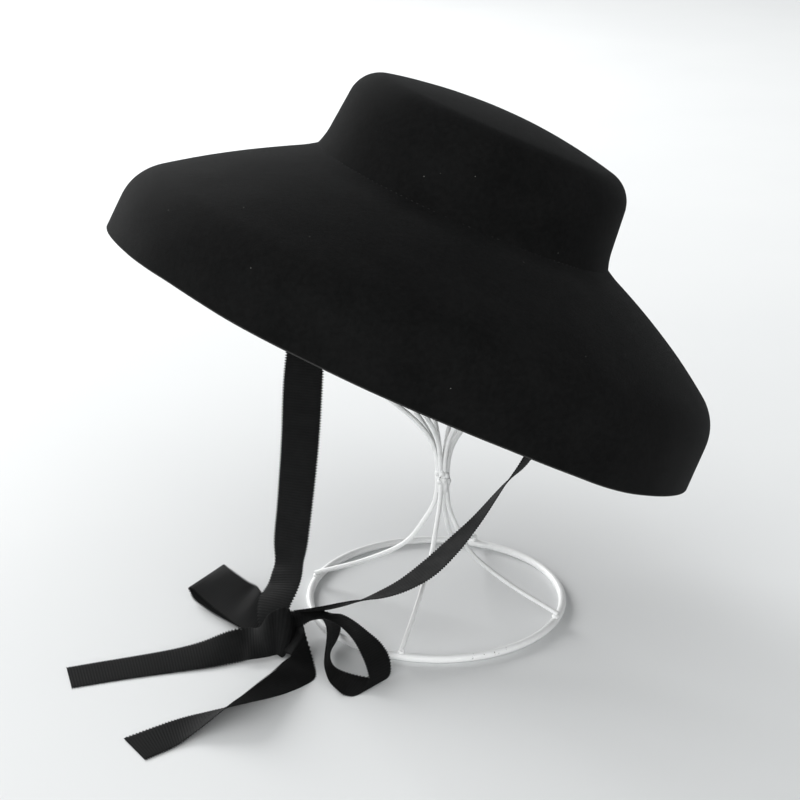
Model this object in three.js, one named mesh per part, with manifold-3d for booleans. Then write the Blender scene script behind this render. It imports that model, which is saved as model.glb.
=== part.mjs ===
// A wide brim felt hat with ribbon ties, set at a tilt on a plain wire stand. Millimetres, +Z up.
// The hat leans to its right and a little back, and the bow of its ties lies on the table beside the stand.
import * as THREE from "three";
import { mergeVertices } from "three/addons/utils/BufferGeometryUtils.js";
import Module from "manifold-3d";

const wasm = await Module();
wasm.setup();

// Felt: one wall thickness, and the slit that the seam between crown and brim leaves.
const FELT = 2;
const SEAM_GAP = 0.3;
const HAT_SEGMENTS = 60;

// Crown: a low cone with a rounded top edge and a slightly domed top. Its plan is a little longer than wide.
const CROWN_BASE_RADIUS = 93;
const CROWN_TOP_RADIUS = 89;
const CROWN_HEIGHT = 54.5;
const CROWN_EDGE_RADIUS = 20;
const CROWN_DOME = 8;
const CROWN_OVAL = 1.06;

// Brim: a slope from the seam to a rounded shoulder, then a steep fall to the rim.
// The four sections lie a quarter turn apart, and bow is how far the slope swells above a straight line.
const BRIM_OVAL = 1.018;
const SHOULDER_ROUND = 16;
const BRIM_SECTIONS = {
  right: { shoulderRadius: 190.5, shoulderHeight: -56.3, rimRadius: 191.8, rimHeight: -99, bow: 4.5 },
  back: { shoulderRadius: 188.2, shoulderHeight: -65.1, rimRadius: 191.2, rimHeight: -103.5, bow: 3.3 },
  left: { shoulderRadius: 188.5, shoulderHeight: -56.5, rimRadius: 190.7, rimHeight: -91.5, bow: 3 },
  front: { shoulderRadius: 188.2, shoulderHeight: -42.3, rimRadius: 191.2, rimHeight: -81, bow: 3.3 },
};

// Place of the hat on the stand: the middle of the crown's base, and its lean in degrees.
const HAT_PLACE = { x: 14.2, y: 4.4, z: 261.5 };
const LEAN_RIGHT = 23.6;
const LEAN_BACK = 6.9;

// Stand: a ring of thick wire, four legs, a weld at the waist, and a balloon of eight wires
// that carries the crown.
const RING_RADIUS = 82.3;
const RING_WIRE = 5;
const RING_SEGMENTS = 48;
const WIRE = 3;
const WELD_GAP = 0.3;
const STAND_LEAN = 3.5;
const WAIST_RADIUS = 6.2;
const WAIST_LOW = 80;
const WAIST_HIGH = 92;
const WELD_SIDES = 12;
const LEG_TURNS = [70, 164, 254, 336];
const LEG_STEPS = 12;
const LEG_ROWS = [
  { radius: 4.3, height: WAIST_LOW - 2 * WELD_GAP },
  { radius: 5.6, height: 68 },
  { radius: 11, height: 55.5 },
  { radius: 22, height: 38.5 },
  { radius: 46, height: 23 },
  { radius: RING_RADIUS + 1, height: RING_WIRE + 2 * WELD_GAP + WIRE / 2 },
];
const CAGE_WIRES = 8;
const CAGE_FIRST_TURN = 22.5;
const CAGE_STEPS = 20;
const CAGE_RADIUS = 70;
const CAGE_MIDDLE = 254.6;
const CAGE_TOP_RADIUS = 9;
const CAGE_FLARE = [
  { radius: 4.3, height: WAIST_HIGH + 2 * WELD_GAP },
  { radius: 5, height: 103 },
  { radius: 10, height: 115 },
  { radius: 20.5, height: 127 },
  { radius: 37, height: 139.5 },
  { radius: 54, height: 157 },
  { radius: 65, height: 185 },
  { radius: 69.5, height: 220 },
];

// Ribbon: its width and wall, how far a tie keeps off the felt that it is sewn to, and its slit in the knot.
const RIBBON_WIDTH = 24;
const RIBBON_WALL = 1;
const TIE_CLEARANCE = 1.2;
const KNOT_SLIT = 0.4;
const RIBBON_FLOOR = 0.5;
const SEWN_HIGH = 24;
const SEWN_LOW = 6;

// Routes of the ribbon, measured from the middle of the stand's ring on the table.
// x, y, z is the middle of the ribbon, turn the compass bearing of its width and rise the tilt of that width.
const TIE_LEFT_ROWS = [
  { x: -75, y: 6, z: 232, turn: 55, rise: -4 },
  { x: -83, y: 0, z: 160, turn: 3, rise: 0 },
  { x: -86, y: -8, z: 114, turn: -6, rise: 0 },
  { x: -89, y: -20, z: 81, turn: -20, rise: -2 },
  { x: -92, y: -31, z: 52, turn: -34, rise: -5 },
  { x: -95, y: -40, z: 34, turn: -42, rise: -8 },
  { x: -98, y: -47, z: 25.5, turn: -42, rise: -10 },
  { x: -100, y: -53, z: 20, turn: -40, rise: -9 },
];
const TIE_RIGHT_ROWS = [
  { x: 86, y: -4, z: 172, turn: 90, rise: -14 },
  { x: 55, y: -15, z: 105, turn: 90, rise: -24 },
  { x: 42, y: -20, z: 91, turn: 92, rise: -26 },
  { x: 24, y: -27, z: 69, turn: 98, rise: -14 },
  { x: 9, y: -33, z: 54, turn: 102, rise: -4 },
  { x: -6, y: -40, z: 42, turn: 102, rise: -2 },
  { x: -21, y: -46, z: 34, turn: 100, rise: -10 },
  { x: -36, y: -51, z: 29.5, turn: 98, rise: -18 },
  { x: -54, y: -55, z: 26, turn: 95, rise: -27 },
  { x: -73, y: -58, z: 22.5, turn: 92, rise: -34 },
  { x: -88, y: -57, z: 20, turn: 90, rise: -34 },
];
const LOOP_LEFT_ROWS = [
  { x: -108, y: -53, z: 12.5, turn: 64, rise: 20 },
  { x: -120, y: -39, z: 17.5, turn: 52, rise: 27 },
  { x: -135, y: -19, z: 20.6, turn: 40, rise: 28 },
  { x: -147, y: -3, z: 19.4, turn: 34, rise: 26 },
  { x: -149, y: 2.4, z: 14.6, turn: 33, rise: 26 },
  { x: -144.2, y: -2.2, z: 9.6, turn: 34, rise: 25 },
  { x: -133.5, y: -23, z: 8.8, turn: 39, rise: 22 },
  { x: -120.5, y: -42, z: 7.9, turn: 51, rise: 17 },
  { x: -110, y: -53, z: 7, turn: 64, rise: 16 },
];
const LOOP_RIGHT_ROWS = [
  { x: -89, y: -57, z: 12, turn: 74, rise: -8 },
  { x: -78, y: -58, z: 16.5, turn: 68, rise: -12 },
  { x: -66, y: -64, z: 20.5, turn: 60, rise: -16 },
  { x: -55, y: -75, z: 21.5, turn: 54, rise: -19 },
  { x: -43.5, y: -91, z: 18.8, turn: 51, rise: -19 },
  { x: -38.3, y: -101, z: 14.6, turn: 52, rise: -16 },
  { x: -37, y: -108, z: 9, turn: 54, rise: -11 },
  { x: -40, y: -112.4, z: 4.2, turn: 58, rise: -4 },
  { x: -47.6, y: -113.4, z: 2, turn: 64, rise: 0 },
  { x: -56, y: -110.5, z: 3, turn: 68, rise: -8 },
  { x: -62, y: -105, z: 6.2, turn: 67, rise: -22 },
  { x: -65, y: -98.5, z: 10.6, turn: 64, rise: -38 },
  { x: -66, y: -90, z: 13.8, turn: 62, rise: -44 },
  { x: -67, y: -80, z: 14.6, turn: 62, rise: -40 },
  { x: -71, y: -71, z: 13, turn: 65, rise: -28 },
  { x: -78, y: -64, z: 10.2, turn: 69, rise: -14 },
  { x: -88, y: -60, z: 6.5, turn: 74, rise: 0 },
];
const TAIL_UPPER_ROWS = [
  { x: -101, y: -67, z: 8, turn: 91, rise: 30 },
  { x: -112, y: -71, z: 7.6, turn: 92, rise: 29 },
  { x: -124, y: -74, z: 7, turn: 94, rise: 27 },
  { x: -142, y: -79, z: 4, turn: 97, rise: 14 },
  { x: -160, y: -83, z: 2.4, turn: 100, rise: 6 },
  { x: -190, y: -91, z: 1.6, turn: 105, rise: 2 },
  { x: -221, y: -101, z: 1.4, turn: 110, rise: 1 },
];
const TAIL_LOWER_ROWS = [
  { x: -92, y: -72, z: 11, turn: -55, rise: 80 },
  { x: -84, y: -86, z: 12.4, turn: -45, rise: 98 },
  { x: -77, y: -100, z: 12.8, turn: -45, rise: 98 },
  { x: -86, y: -115, z: 12, turn: -50, rise: 74 },
  { x: -102, y: -127, z: 10, turn: -60, rise: 50 },
  { x: -119, y: -139, z: 7, turn: -68, rise: 30 },
  { x: -146, y: -159, z: 3.4, turn: -58, rise: 10 },
  { x: -171, y: -178, z: 1.5, turn: -52, rise: 1 },
];

// Knot: a low lump of wrapped ribbon, longest along its bearing, pressed flat where it lies on the table.
const KNOT = { x: -100, y: -56, z: 12.5, along: 23, across: 15, high: 12, bearing: -68, dip: 12, floor: 0.6 };
const KNOT_SEGMENTS = 20;
const KNOT_RINGS = 10;
const MERGE_DISTANCE = 0.0001;

const FELT_BLACK = new THREE.MeshStandardMaterial({ color: 0x121212, roughness: 0.95, metalness: 0 });
const RIBBON_BLACK = new THREE.MeshStandardMaterial({ color: 0x17181a, roughness: 0.75, metalness: 0 });
const WIRE_WHITE = new THREE.MeshStandardMaterial({ color: 0xe6e8e8, roughness: 0.45, metalness: 0 });

const radians = THREE.MathUtils.degToRad;
const lerp = THREE.MathUtils.lerp;

function geometryFrom(points, triangles) {
  const geometry = new THREE.BufferGeometry();
  geometry.setAttribute("position", new THREE.Float32BufferAttribute(points.flat(), 3));
  geometry.setIndex(triangles.flat());
  geometry.computeVertexNormals();
  return geometry;
}

// Two triangles for a four-sided face whose corners run anticlockwise as seen from outside.
function quad(a, b, c, d) {
  return [[a, b, c], [a, c, d]];
}

// Turns an outside line of [radius, height] points into an inside line one felt wall away.
function insideLine(line) {
  return line.map((point, i) => {
    const before = line[Math.max(i - 1, 0)];
    const after = line[Math.min(i + 1, line.length - 1)];
    const along = new THREE.Vector2(after[0] - before[0], after[1] - before[1]).normalize();
    return [point[0] + along.y * FELT, point[1] - along.x * FELT];
  });
}

// Crown outside, from the middle of its top to the seam.
function crownLine() {
  const edgeMiddle = CROWN_TOP_RADIUS - CROWN_EDGE_RADIUS;
  const topSlope = Math.atan((2 * CROWN_DOME) / edgeMiddle);
  const sideSlope = Math.atan((CROWN_BASE_RADIUS - CROWN_TOP_RADIUS) / (CROWN_HEIGHT - CROWN_EDGE_RADIUS));
  const edge = [];
  const edgeSteps = 5;
  for (let i = 0; i <= edgeSteps; i += 1) {
    const angle = lerp(topSlope, Math.PI / 2 - sideSlope, i / edgeSteps);
    const radius = edgeMiddle + CROWN_EDGE_RADIUS * Math.sin(angle);
    edge.push([radius, CROWN_HEIGHT - CROWN_EDGE_RADIUS * (1 - Math.cos(angle))]);
  }
  const [topRadius, topHeight] = edge[0];
  const rise = (topRadius * Math.tan(topSlope)) / 2;
  const top = [0, 0.35, 0.7].map((share) => [share * topRadius, topHeight + rise * (1 - share * share)]);
  return [...top, ...edge, [CROWN_BASE_RADIUS, 0]];
}

// One size of the brim at any angle, swung smoothly through its four sections.
function brimSize(name, angle) {
  const sides = ["right", "back", "left", "front"];
  const [right, back, left, front] = sides.map((side) => BRIM_SECTIONS[side][name]);
  const middle = (right + back + left + front) / 4;
  const sideways = ((right - left) / 2) * Math.cos(angle);
  const lengthways = ((back - front) / 2) * Math.sin(angle);
  const twice = ((right + left - back - front) / 4) * Math.cos(2 * angle);
  return middle + sideways + lengthways + twice;
}

// Brim outside at one angle, from the seam over the shoulder to the rim.
function brimLine(angle) {
  const seam = new THREE.Vector2(CROWN_BASE_RADIUS, 0);
  const shoulder = new THREE.Vector2(brimSize("shoulderRadius", angle), brimSize("shoulderHeight", angle));
  const rim = new THREE.Vector2(brimSize("rimRadius", angle), brimSize("rimHeight", angle));
  const along = shoulder.clone().sub(seam).normalize();
  const lift = new THREE.Vector2(-along.y, along.x).multiplyScalar(2 * brimSize("bow", angle));
  const control = seam.clone().lerp(shoulder, 0.5).add(lift);
  const slope = new THREE.QuadraticBezierCurve(seam, control, shoulder);
  const slopeEnd = 1 - SHOULDER_ROUND / (2 * shoulder.distanceTo(control));
  const falls = SHOULDER_ROUND / shoulder.distanceTo(rim);
  const fallStart = shoulder.clone().lerp(rim, falls);
  const round = new THREE.QuadraticBezierCurve(slope.getPoint(slopeEnd), shoulder, fallStart);
  const slopeSteps = 5;
  const roundSteps = 4;
  const points = [];
  for (let i = 0; i < slopeSteps; i += 1) {
    points.push(slope.getPoint((slopeEnd * i) / slopeSteps));
  }
  for (let i = 0; i <= roundSteps; i += 1) {
    points.push(round.getPoint(i / roundSteps));
  }
  points.push(rim);
  return points.map((point) => [point.x, point.y]);
}

// Places a point of the hat's outline: the oval of the crown fades towards the shoulder of the brim.
function hatPoint([radius, height], angle) {
  const reach = brimSize("shoulderRadius", angle) - CROWN_BASE_RADIUS;
  const outward = THREE.MathUtils.clamp((radius - CROWN_BASE_RADIUS) / reach, 0, 1);
  const oval = lerp(CROWN_OVAL, BRIM_OVAL, outward);
  return [radius * Math.cos(angle), radius * oval * Math.sin(angle), height];
}

// Felt walls: the outside line and the inside line, joined round the seam's edge.
function crownGeometry() {
  const outside = crownLine();
  const inside = insideLine(outside);
  inside[0] = [0, outside[0][1] - FELT];
  inside[inside.length - 1] = [CROWN_BASE_RADIUS - FELT, 0];
  const loop = [...outside.slice(1), ...inside.slice(1).reverse()];
  const points = [];
  const triangles = [];
  for (let i = 0; i < HAT_SEGMENTS; i += 1) {
    const angle = (2 * Math.PI * i) / HAT_SEGMENTS;
    loop.forEach((point) => points.push(hatPoint(point, angle)));
  }
  const topOutside = points.length;
  points.push([0, 0, outside[0][1]]);
  const topInside = points.length;
  points.push([0, 0, inside[0][1]]);
  const rows = loop.length;
  for (let i = 0; i < HAT_SEGMENTS; i += 1) {
    const here = i * rows;
    const next = ((i + 1) % HAT_SEGMENTS) * rows;
    for (let j = 0; j < rows - 1; j += 1) {
      triangles.push(...quad(here + j, here + j + 1, next + j + 1, next + j));
    }
    triangles.push([topOutside, here, next]);
    triangles.push([topInside, next + rows - 1, here + rows - 1]);
  }
  return geometryFrom(points, triangles);
}

function brimGeometry() {
  const points = [];
  const triangles = [];
  let rows = 0;
  for (let i = 0; i < HAT_SEGMENTS; i += 1) {
    const angle = (2 * Math.PI * i) / HAT_SEGMENTS;
    const outside = brimLine(angle);
    const inside = insideLine(outside);
    inside[0] = [CROWN_BASE_RADIUS - FELT, 0];
    const loop = [...outside, ...inside.reverse()];
    rows = loop.length;
    loop.forEach((point) => points.push(hatPoint(point, angle)));
  }
  for (let i = 0; i < HAT_SEGMENTS; i += 1) {
    const here = i * rows;
    const next = ((i + 1) % HAT_SEGMENTS) * rows;
    for (let j = 0; j < rows; j += 1) {
      const below = (j + 1) % rows;
      triangles.push(...quad(here + j, here + below, next + below, next + j));
    }
  }
  return geometryFrom(points, triangles);
}

// The direction of a ribbon's width, from its two angles.
function widthDirection(turn, rise) {
  const level = Math.cos(radians(rise));
  const bearing = radians(turn);
  return new THREE.Vector3(level * Math.cos(bearing), level * Math.sin(bearing), Math.sin(radians(rise)));
}

// A strip of ribbon along its rows, lifted onto the table wherever a row would dip under it.
// Spare makes it larger all round, for the slit that it needs in the knot.
// Opposite walls are split along the same diagonal, so that a twisted ribbon keeps its thickness.
function ribbonGeometry(rows, steps, spare = 0) {
  const route = new THREE.CatmullRomCurve3(rows.map((row) => new THREE.Vector3(row.x, row.y, row.z)));
  const angles = new THREE.CatmullRomCurve3(rows.map((row) => new THREE.Vector3(row.turn, row.rise, 0)));
  const points = [];
  const triangles = [];
  const corners = [[1, 1], [-1, 1], [-1, -1], [1, -1]];
  for (let i = 0; i <= steps; i += 1) {
    const share = i / steps;
    const along = route.getTangent(share);
    const angle = angles.getPoint(share);
    const width = widthDirection(angle.x, angle.y);
    width.addScaledVector(along, -width.dot(along)).normalize();
    const face = along.clone().cross(width);
    const section = corners.map(([sideways, upward]) => {
      const corner = route.getPoint(share);
      corner.addScaledVector(along, spare * (Number(i === steps) - Number(i === 0)));
      corner.addScaledVector(width, sideways * (RIBBON_WIDTH / 2 + spare));
      return corner.addScaledVector(face, upward * (RIBBON_WALL / 2 + spare));
    });
    const lift = Math.max(0, RIBBON_FLOOR - Math.min(...section.map((corner) => corner.z)));
    section.forEach((corner) => points.push([corner.x, corner.y, corner.z + lift]));
  }
  for (let i = 0; i < steps; i += 1) {
    for (let j = 0; j < 4; j += 1) {
      const next = (j + 1) % 4;
      const wall = [4 * i + j, 4 * i + next, 4 * i + 4 + next, 4 * i + 4 + j];
      if (j > 1) {
        wall.push(wall.shift());
      }
      triangles.push(...quad(...wall));
    }
  }
  const last = 4 * steps;
  triangles.push(...quad(3, 2, 1, 0));
  triangles.push(...quad(last, last + 1, last + 2, last + 3));
  return geometryFrom(points, triangles);
}

// A row where a tie lies flat against the inside of the crown, at one angle and height on the hat.
function sewnRow(hat, angle, height) {
  const wall = lerp(CROWN_BASE_RADIUS, CROWN_TOP_RADIUS, height / (CROWN_HEIGHT - CROWN_EDGE_RADIUS)) - FELT;
  const hollow = RIBBON_WIDTH ** 2 / (8 * wall);
  const radius = wall - hollow - RIBBON_WALL / 2 - TIE_CLEARANCE;
  const place = new THREE.Vector3(radius * Math.cos(angle), radius * Math.sin(angle), height);
  const width = new THREE.Vector3(0, 1, 0).transformDirection(hat.matrix);
  place.applyMatrix4(hat.matrix);
  const turn = THREE.MathUtils.radToDeg(Math.atan2(width.y, width.x));
  const rise = THREE.MathUtils.radToDeg(Math.asin(width.z));
  return { x: place.x, y: place.y, z: place.z, turn, rise };
}

// Closed meshes as solids that can be joined and cut, and back again.
function solidFrom(geometry) {
  const bare = geometry.clone();
  bare.deleteAttribute("normal");
  bare.deleteAttribute("uv");
  const merged = mergeVertices(bare, MERGE_DISTANCE);
  const vertProperties = new Float32Array(merged.attributes.position.array);
  const triVerts = new Uint32Array(merged.index.array);
  return new wasm.Manifold(new wasm.Mesh({ numProp: 3, vertProperties, triVerts }));
}

function geometryFromSolid(solid) {
  const mesh = solid.getMesh();
  const geometry = new THREE.BufferGeometry();
  geometry.setAttribute("position", new THREE.Float32BufferAttribute(mesh.vertProperties, 3));
  geometry.setIndex(Array.from(mesh.triVerts));
  geometry.computeVertexNormals();
  return geometry;
}

// The knot, slit where each ribbon goes in.
function knotGeometry(ribbons) {
  const lump = new THREE.SphereGeometry(1, KNOT_SEGMENTS, KNOT_RINGS);
  lump.rotateX(Math.PI / 2);
  lump.scale(KNOT.along, KNOT.across, KNOT.high);
  lump.rotateY(radians(KNOT.dip));
  lump.rotateZ(radians(KNOT.bearing));
  lump.translate(KNOT.x, KNOT.y, KNOT.z);
  const heights = lump.attributes.position;
  for (let i = 0; i < heights.count; i += 1) {
    heights.setZ(i, Math.max(heights.getZ(i), KNOT.floor));
  }
  const cut = ribbons.reduce((left, ribbon) => left.subtract(solidFrom(ribbon)), solidFrom(lump));
  return geometryFromSolid(cut);
}

// Wire of a round section with few sides, along a path that lies in one upright plane.
function wireGeometry(rows, turn, steps) {
  const bearing = radians(turn);
  const points = rows.map(({ radius, height }) => {
    const lean = STAND_LEAN * Math.min(height / WAIST_LOW, 1);
    return new THREE.Vector3(lean + radius * Math.cos(bearing), radius * Math.sin(bearing), height);
  });
  const section = new THREE.Shape();
  const sides = 6;
  for (let i = 0; i < sides; i += 1) {
    const angle = (2 * Math.PI * i) / sides;
    const point = [(WIRE / 2) * Math.cos(angle), (WIRE / 2) * Math.sin(angle)];
    if (i === 0) {
      section.moveTo(...point);
    } else {
      section.lineTo(...point);
    }
  }
  section.closePath();
  const extrudePath = new THREE.CatmullRomCurve3(points);
  return new THREE.ExtrudeGeometry(section, { steps, extrudePath, bevelEnabled: false });
}

// Base ring with eight-sided wire, one side flat on the table.
function ringGeometry() {
  const profile = [];
  const sides = 8;
  const corner = RING_WIRE / 2 / Math.cos(Math.PI / sides);
  for (let i = 0; i <= sides; i += 1) {
    const angle = (2 * Math.PI * (i + 0.5)) / sides;
    profile.push(new THREE.Vector2(RING_RADIUS + corner * Math.cos(angle), corner * Math.sin(angle)));
  }
  const ring = new THREE.LatheGeometry(profile, RING_SEGMENTS);
  ring.rotateX(Math.PI / 2);
  ring.translate(0, 0, RING_WIRE / 2);
  return ring;
}

// The cage's outline: the flare from the waist, then a round dome up to the small disc at the top.
function cageRows() {
  const dome = [];
  const domeSteps = 5;
  const last = Math.acos((CAGE_TOP_RADIUS + 2 * WELD_GAP) / CAGE_RADIUS);
  for (let i = 0; i <= domeSteps; i += 1) {
    const angle = (last * i) / domeSteps;
    const radius = CAGE_RADIUS * Math.cos(angle);
    dome.push({ radius, height: CAGE_MIDDLE + CAGE_RADIUS * Math.sin(angle) });
  }
  return [...CAGE_FLARE, ...dome];
}

// A welded disc on the stand's axis.
function discGeometry(radius, low, high) {
  const disc = new THREE.CylinderGeometry(radius, radius, high - low, WELD_SIDES);
  disc.rotateX(Math.PI / 2);
  disc.translate(STAND_LEAN, 0, (low + high) / 2);
  return disc;
}

function addMesh(group, name, geometry, material) {
  const mesh = new THREE.Mesh(geometry, material);
  mesh.name = name;
  group.add(mesh);
}

const assembly = new THREE.Group();

// Hat, tilted as it sits.
const hat = new THREE.Group();
hat.position.set(HAT_PLACE.x, HAT_PLACE.y, HAT_PLACE.z);
hat.rotation.set(-radians(LEAN_BACK), radians(LEAN_RIGHT), 0, "XYZ");
hat.updateMatrix();
const crown = crownGeometry();
crown.translate(0, 0, SEAM_GAP);
addMesh(hat, "crown", crown, FELT_BLACK);
addMesh(hat, "brim", brimGeometry(), FELT_BLACK);
assembly.add(hat);

// Ribbon: two ties, two loops and two tails, all held by the knot.
const sewnLeft = [sewnRow(hat, Math.PI, SEWN_HIGH), sewnRow(hat, Math.PI, SEWN_LOW)];
const sewnRight = [sewnRow(hat, 0, SEWN_HIGH), sewnRow(hat, 0, SEWN_LOW)];
const RIBBONS = [
  { name: "tie_left", rows: [...sewnLeft, ...TIE_LEFT_ROWS], steps: 26 },
  { name: "tie_right", rows: [...sewnRight, ...TIE_RIGHT_ROWS], steps: 36 },
  { name: "bow_loop_left", rows: LOOP_LEFT_ROWS, steps: 32 },
  { name: "bow_loop_right", rows: LOOP_RIGHT_ROWS, steps: 32 },
  { name: "tail_upper", rows: TAIL_UPPER_ROWS, steps: 12 },
  { name: "tail_lower", rows: TAIL_LOWER_ROWS, steps: 18 },
];
RIBBONS.forEach(({ name, rows, steps }) => {
  addMesh(assembly, name, ribbonGeometry(rows, steps), RIBBON_BLACK);
});
const slits = RIBBONS.map(({ rows, steps }) => ribbonGeometry(rows, steps, KNOT_SLIT));
addMesh(assembly, "bow_knot", knotGeometry(slits), RIBBON_BLACK);

// Stand.
addMesh(assembly, "base_ring", ringGeometry(), WIRE_WHITE);
LEG_TURNS.forEach((turn, i) => {
  addMesh(assembly, `leg_${i + 1}`, wireGeometry(LEG_ROWS, turn, LEG_STEPS), WIRE_WHITE);
});
addMesh(assembly, "waist_weld", discGeometry(WAIST_RADIUS, WAIST_LOW, WAIST_HIGH), WIRE_WHITE);
for (let i = 0; i < CAGE_WIRES; i += 1) {
  const turn = CAGE_FIRST_TURN + (360 * i) / CAGE_WIRES;
  addMesh(assembly, `cage_wire_${i + 1}`, wireGeometry(cageRows(), turn, CAGE_STEPS), WIRE_WHITE);
}
const cageTop = CAGE_MIDDLE + Math.sqrt(CAGE_RADIUS ** 2 - CAGE_TOP_RADIUS ** 2);
const cageDisc = discGeometry(CAGE_TOP_RADIUS, cageTop - WIRE / 2, cageTop + WIRE / 2);
addMesh(assembly, "cage_top", cageDisc, WIRE_WHITE);

// Origin: on the table, under the middle of everything.
const bounds = new THREE.Box3().setFromObject(assembly, true);
const middle = bounds.getCenter(new THREE.Vector3());
assembly.position.set(-middle.x, -middle.y, -bounds.min.z);

const group = new THREE.Group();
group.add(assembly);

export default group;
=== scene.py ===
import math

import bmesh
import bpy
import numpy as np
from mathutils import Euler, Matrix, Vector, noise


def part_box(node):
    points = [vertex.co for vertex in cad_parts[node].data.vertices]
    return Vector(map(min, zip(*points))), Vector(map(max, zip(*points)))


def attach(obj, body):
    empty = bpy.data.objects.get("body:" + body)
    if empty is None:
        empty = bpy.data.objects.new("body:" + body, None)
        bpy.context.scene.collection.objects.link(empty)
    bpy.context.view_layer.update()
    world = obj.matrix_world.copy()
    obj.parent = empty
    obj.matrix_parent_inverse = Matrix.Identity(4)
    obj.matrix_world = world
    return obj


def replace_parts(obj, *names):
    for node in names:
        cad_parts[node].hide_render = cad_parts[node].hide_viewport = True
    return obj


# Wide brim felt hat with ribbon ties, on a plain wire stand.
# Sizes are in millimetres from the middle of the stand's ring on the table.
# make_piece() turns them into metres.
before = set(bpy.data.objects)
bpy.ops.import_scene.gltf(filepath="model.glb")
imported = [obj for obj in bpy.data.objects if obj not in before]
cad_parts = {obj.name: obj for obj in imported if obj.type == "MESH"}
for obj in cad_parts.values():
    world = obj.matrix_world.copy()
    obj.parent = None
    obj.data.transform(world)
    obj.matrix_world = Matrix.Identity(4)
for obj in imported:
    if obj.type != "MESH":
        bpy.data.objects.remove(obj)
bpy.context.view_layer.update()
MM = 0.001
SHARP_EDGE = 60
CURVE_STEPS = 40
ring_low, ring_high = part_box("base_ring")
STAND = np.array([(ring_low.x + ring_high.x) / 2, (ring_low.y + ring_high.y) / 2, 0])

# Felt hat: the same sizes as its solids, but for the filled seam and a rim that hangs lower in front.
FELT = 2
CROWN_BASE_RADIUS = 93
CROWN_TOP_RADIUS = 89
CROWN_HEIGHT = 54.5
CROWN_EDGE_RADIUS = 20
CROWN_DOME = 8
CROWN_OVAL = 1.06
BRIM_OVAL = 1.018
SHOULDER_ROUND = 16
FRONT_DROP = 2.1
FRONT_FROM = 0.62
FRONT_BLEND = 0.25
CORNER_DROP = 2.3
CORNER_TURN = -48
CORNER_SPREAD = 15
BRIM_SECTIONS = {
    "shoulder_radius": {"right": 190.5, "back": 188.2, "left": 188.5, "front": 188.2},
    "shoulder_height": {"right": -56.3, "back": -65.1, "left": -56.5, "front": -42.3},
    "rim_radius": {"right": 191.8, "back": 191.2, "left": 190.7, "front": 191.2},
    "rim_height": {"right": -99, "back": -103.5, "left": -91.5, "front": -81},
    "bow": {"right": 4.5, "back": 3.3, "left": 3, "front": 3.3},
}
HAT_PLACE = (14.2, 4.4, 261.5)
LEAN_RIGHT = 23.6
LEAN_BACK = 6.9
HAT_SEGMENTS = 240
CROWN_UNEVEN = 0.35
BRIM_UNEVEN = 0.45
# The rim's cut edge: how far across the felt, and how far it stands out
RIM_CUT = ((0.12, 0.42), (0.32, 0.62), (0.68, 0.62), (0.88, 0.42))
SEAM_FILLET = 13
SEAM_FILL = 2
STITCH_PITCH = 3.4
STITCH_LENGTH = 1.7
THREAD = 0.36
STITCH_ARCH = 0.5
STITCH_DEPTH = 0.74
STITCH_UNEVEN = 0.5
STITCH_SLANT = 0.35
# The filled seam's face: its place as shares of the fill, and its direction, each outward and up
SEAM_FACE = (0.88, 0.58)
SEAM_FACING = (0.7, 0.6)

# Stand.
RING_RADIUS = 82.3
RING_WIRE = 5
RING_SEGMENTS = 180
RING_SIDES = 18
RING_UNEVEN = 0.012
WIRE = 3
WIRE_SIDES = 14
WIRE_UNEVEN = 0.03
LEG_STEP = 1.6
CAGE_STEP = 2.2
STAND_LEAN = 3.5
WAIST_LOW = 80
# The welded waist: its ends, radius and taper, and the ridges of its wires
WAIST_BOTTOM = 77
WAIST_TOP = 97
WAIST_RADIUS = 4.35
WAIST_TAPER = 0.9
WAIST_SWAY = 0.25
WAIST_RIDGES = 7
WAIST_RIDGE = 0.3
WAIST_UNEVEN = 0.35
# Weld beads: their size, the turn and height of those round the waist, and the height of those on the ring
BEAD_SIZE = (1.8, 1.8, 2.1)
BEAD_RADIUS = 4
BEAD_UNEVEN = 0.22
WELD_BEADS = (
    (215, 90.5), (243, 85.5), (268, 91), (286, 86.5), (312, 89.5), (334, 85), (75, 88), (140, 86),
)
FOOT_BEAD_SIZE = (2.3, 2.3, 1.5)
FOOT_BEAD_HEIGHT = 5.3
# Chips in the paint of the waist: x, y, z, reach and how much is gone
WAIST_CHIPS = ((0.5, -4.2, 84, 2.4, 0.8), (7.4, -1.5, 90, 2.2, 0.8), (2, -5, 88, 2, 0.7))
# Chips in the paint of the ring: turn, share of its radius, height, reach and how much is gone
RING_CHIPS = (
    (254, 1, 6, 3, 0.85), (336, 1, 6.5, 2.5, 0.7),
    (284, 1.02, 4, 4, 0.6), (289, 1.02, 4, 4, 0.6), (295, 1.02, 4, 4, 0.6), (300, 1.02, 4, 4, 0.6),
)
CHIP_FADE = 1.4
LEG_TURNS = (70, 164, 254, 336)
# Radius and height along a leg
LEG_ROWS = ((3.1, 84), (3.5, 77), (5, 68), (10.8, 55.5), (22, 38.5), (46, 23), (83.3, 7.1))
CAGE_WIRES = 8
CAGE_FIRST_TURN = 22.5
CAGE_RADIUS = 70
CAGE_MIDDLE = 254.6
CAGE_TOP_RADIUS = 9
CAGE_DOME_ROWS = 7
# Radius and height along a wire of the cage, which flares a little less than its solid
CAGE_FLARE = (
    (3.1, 88), (3.5, 95), (4.6, 103), (9, 115), (17.5, 127), (31, 140.5), (48, 157), (63, 185), (69.5, 220),
)
# Radius and height of the disc's outline, from its upper to its lower side
DISC_OUTLINE = (
    (0.5, 1.5), (7.6, 1.5), (8.6, 1.2), (9, 0.4), (9, -0.4), (8.6, -1.2), (7.6, -1.5), (0.5, -1.5),
)

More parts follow.
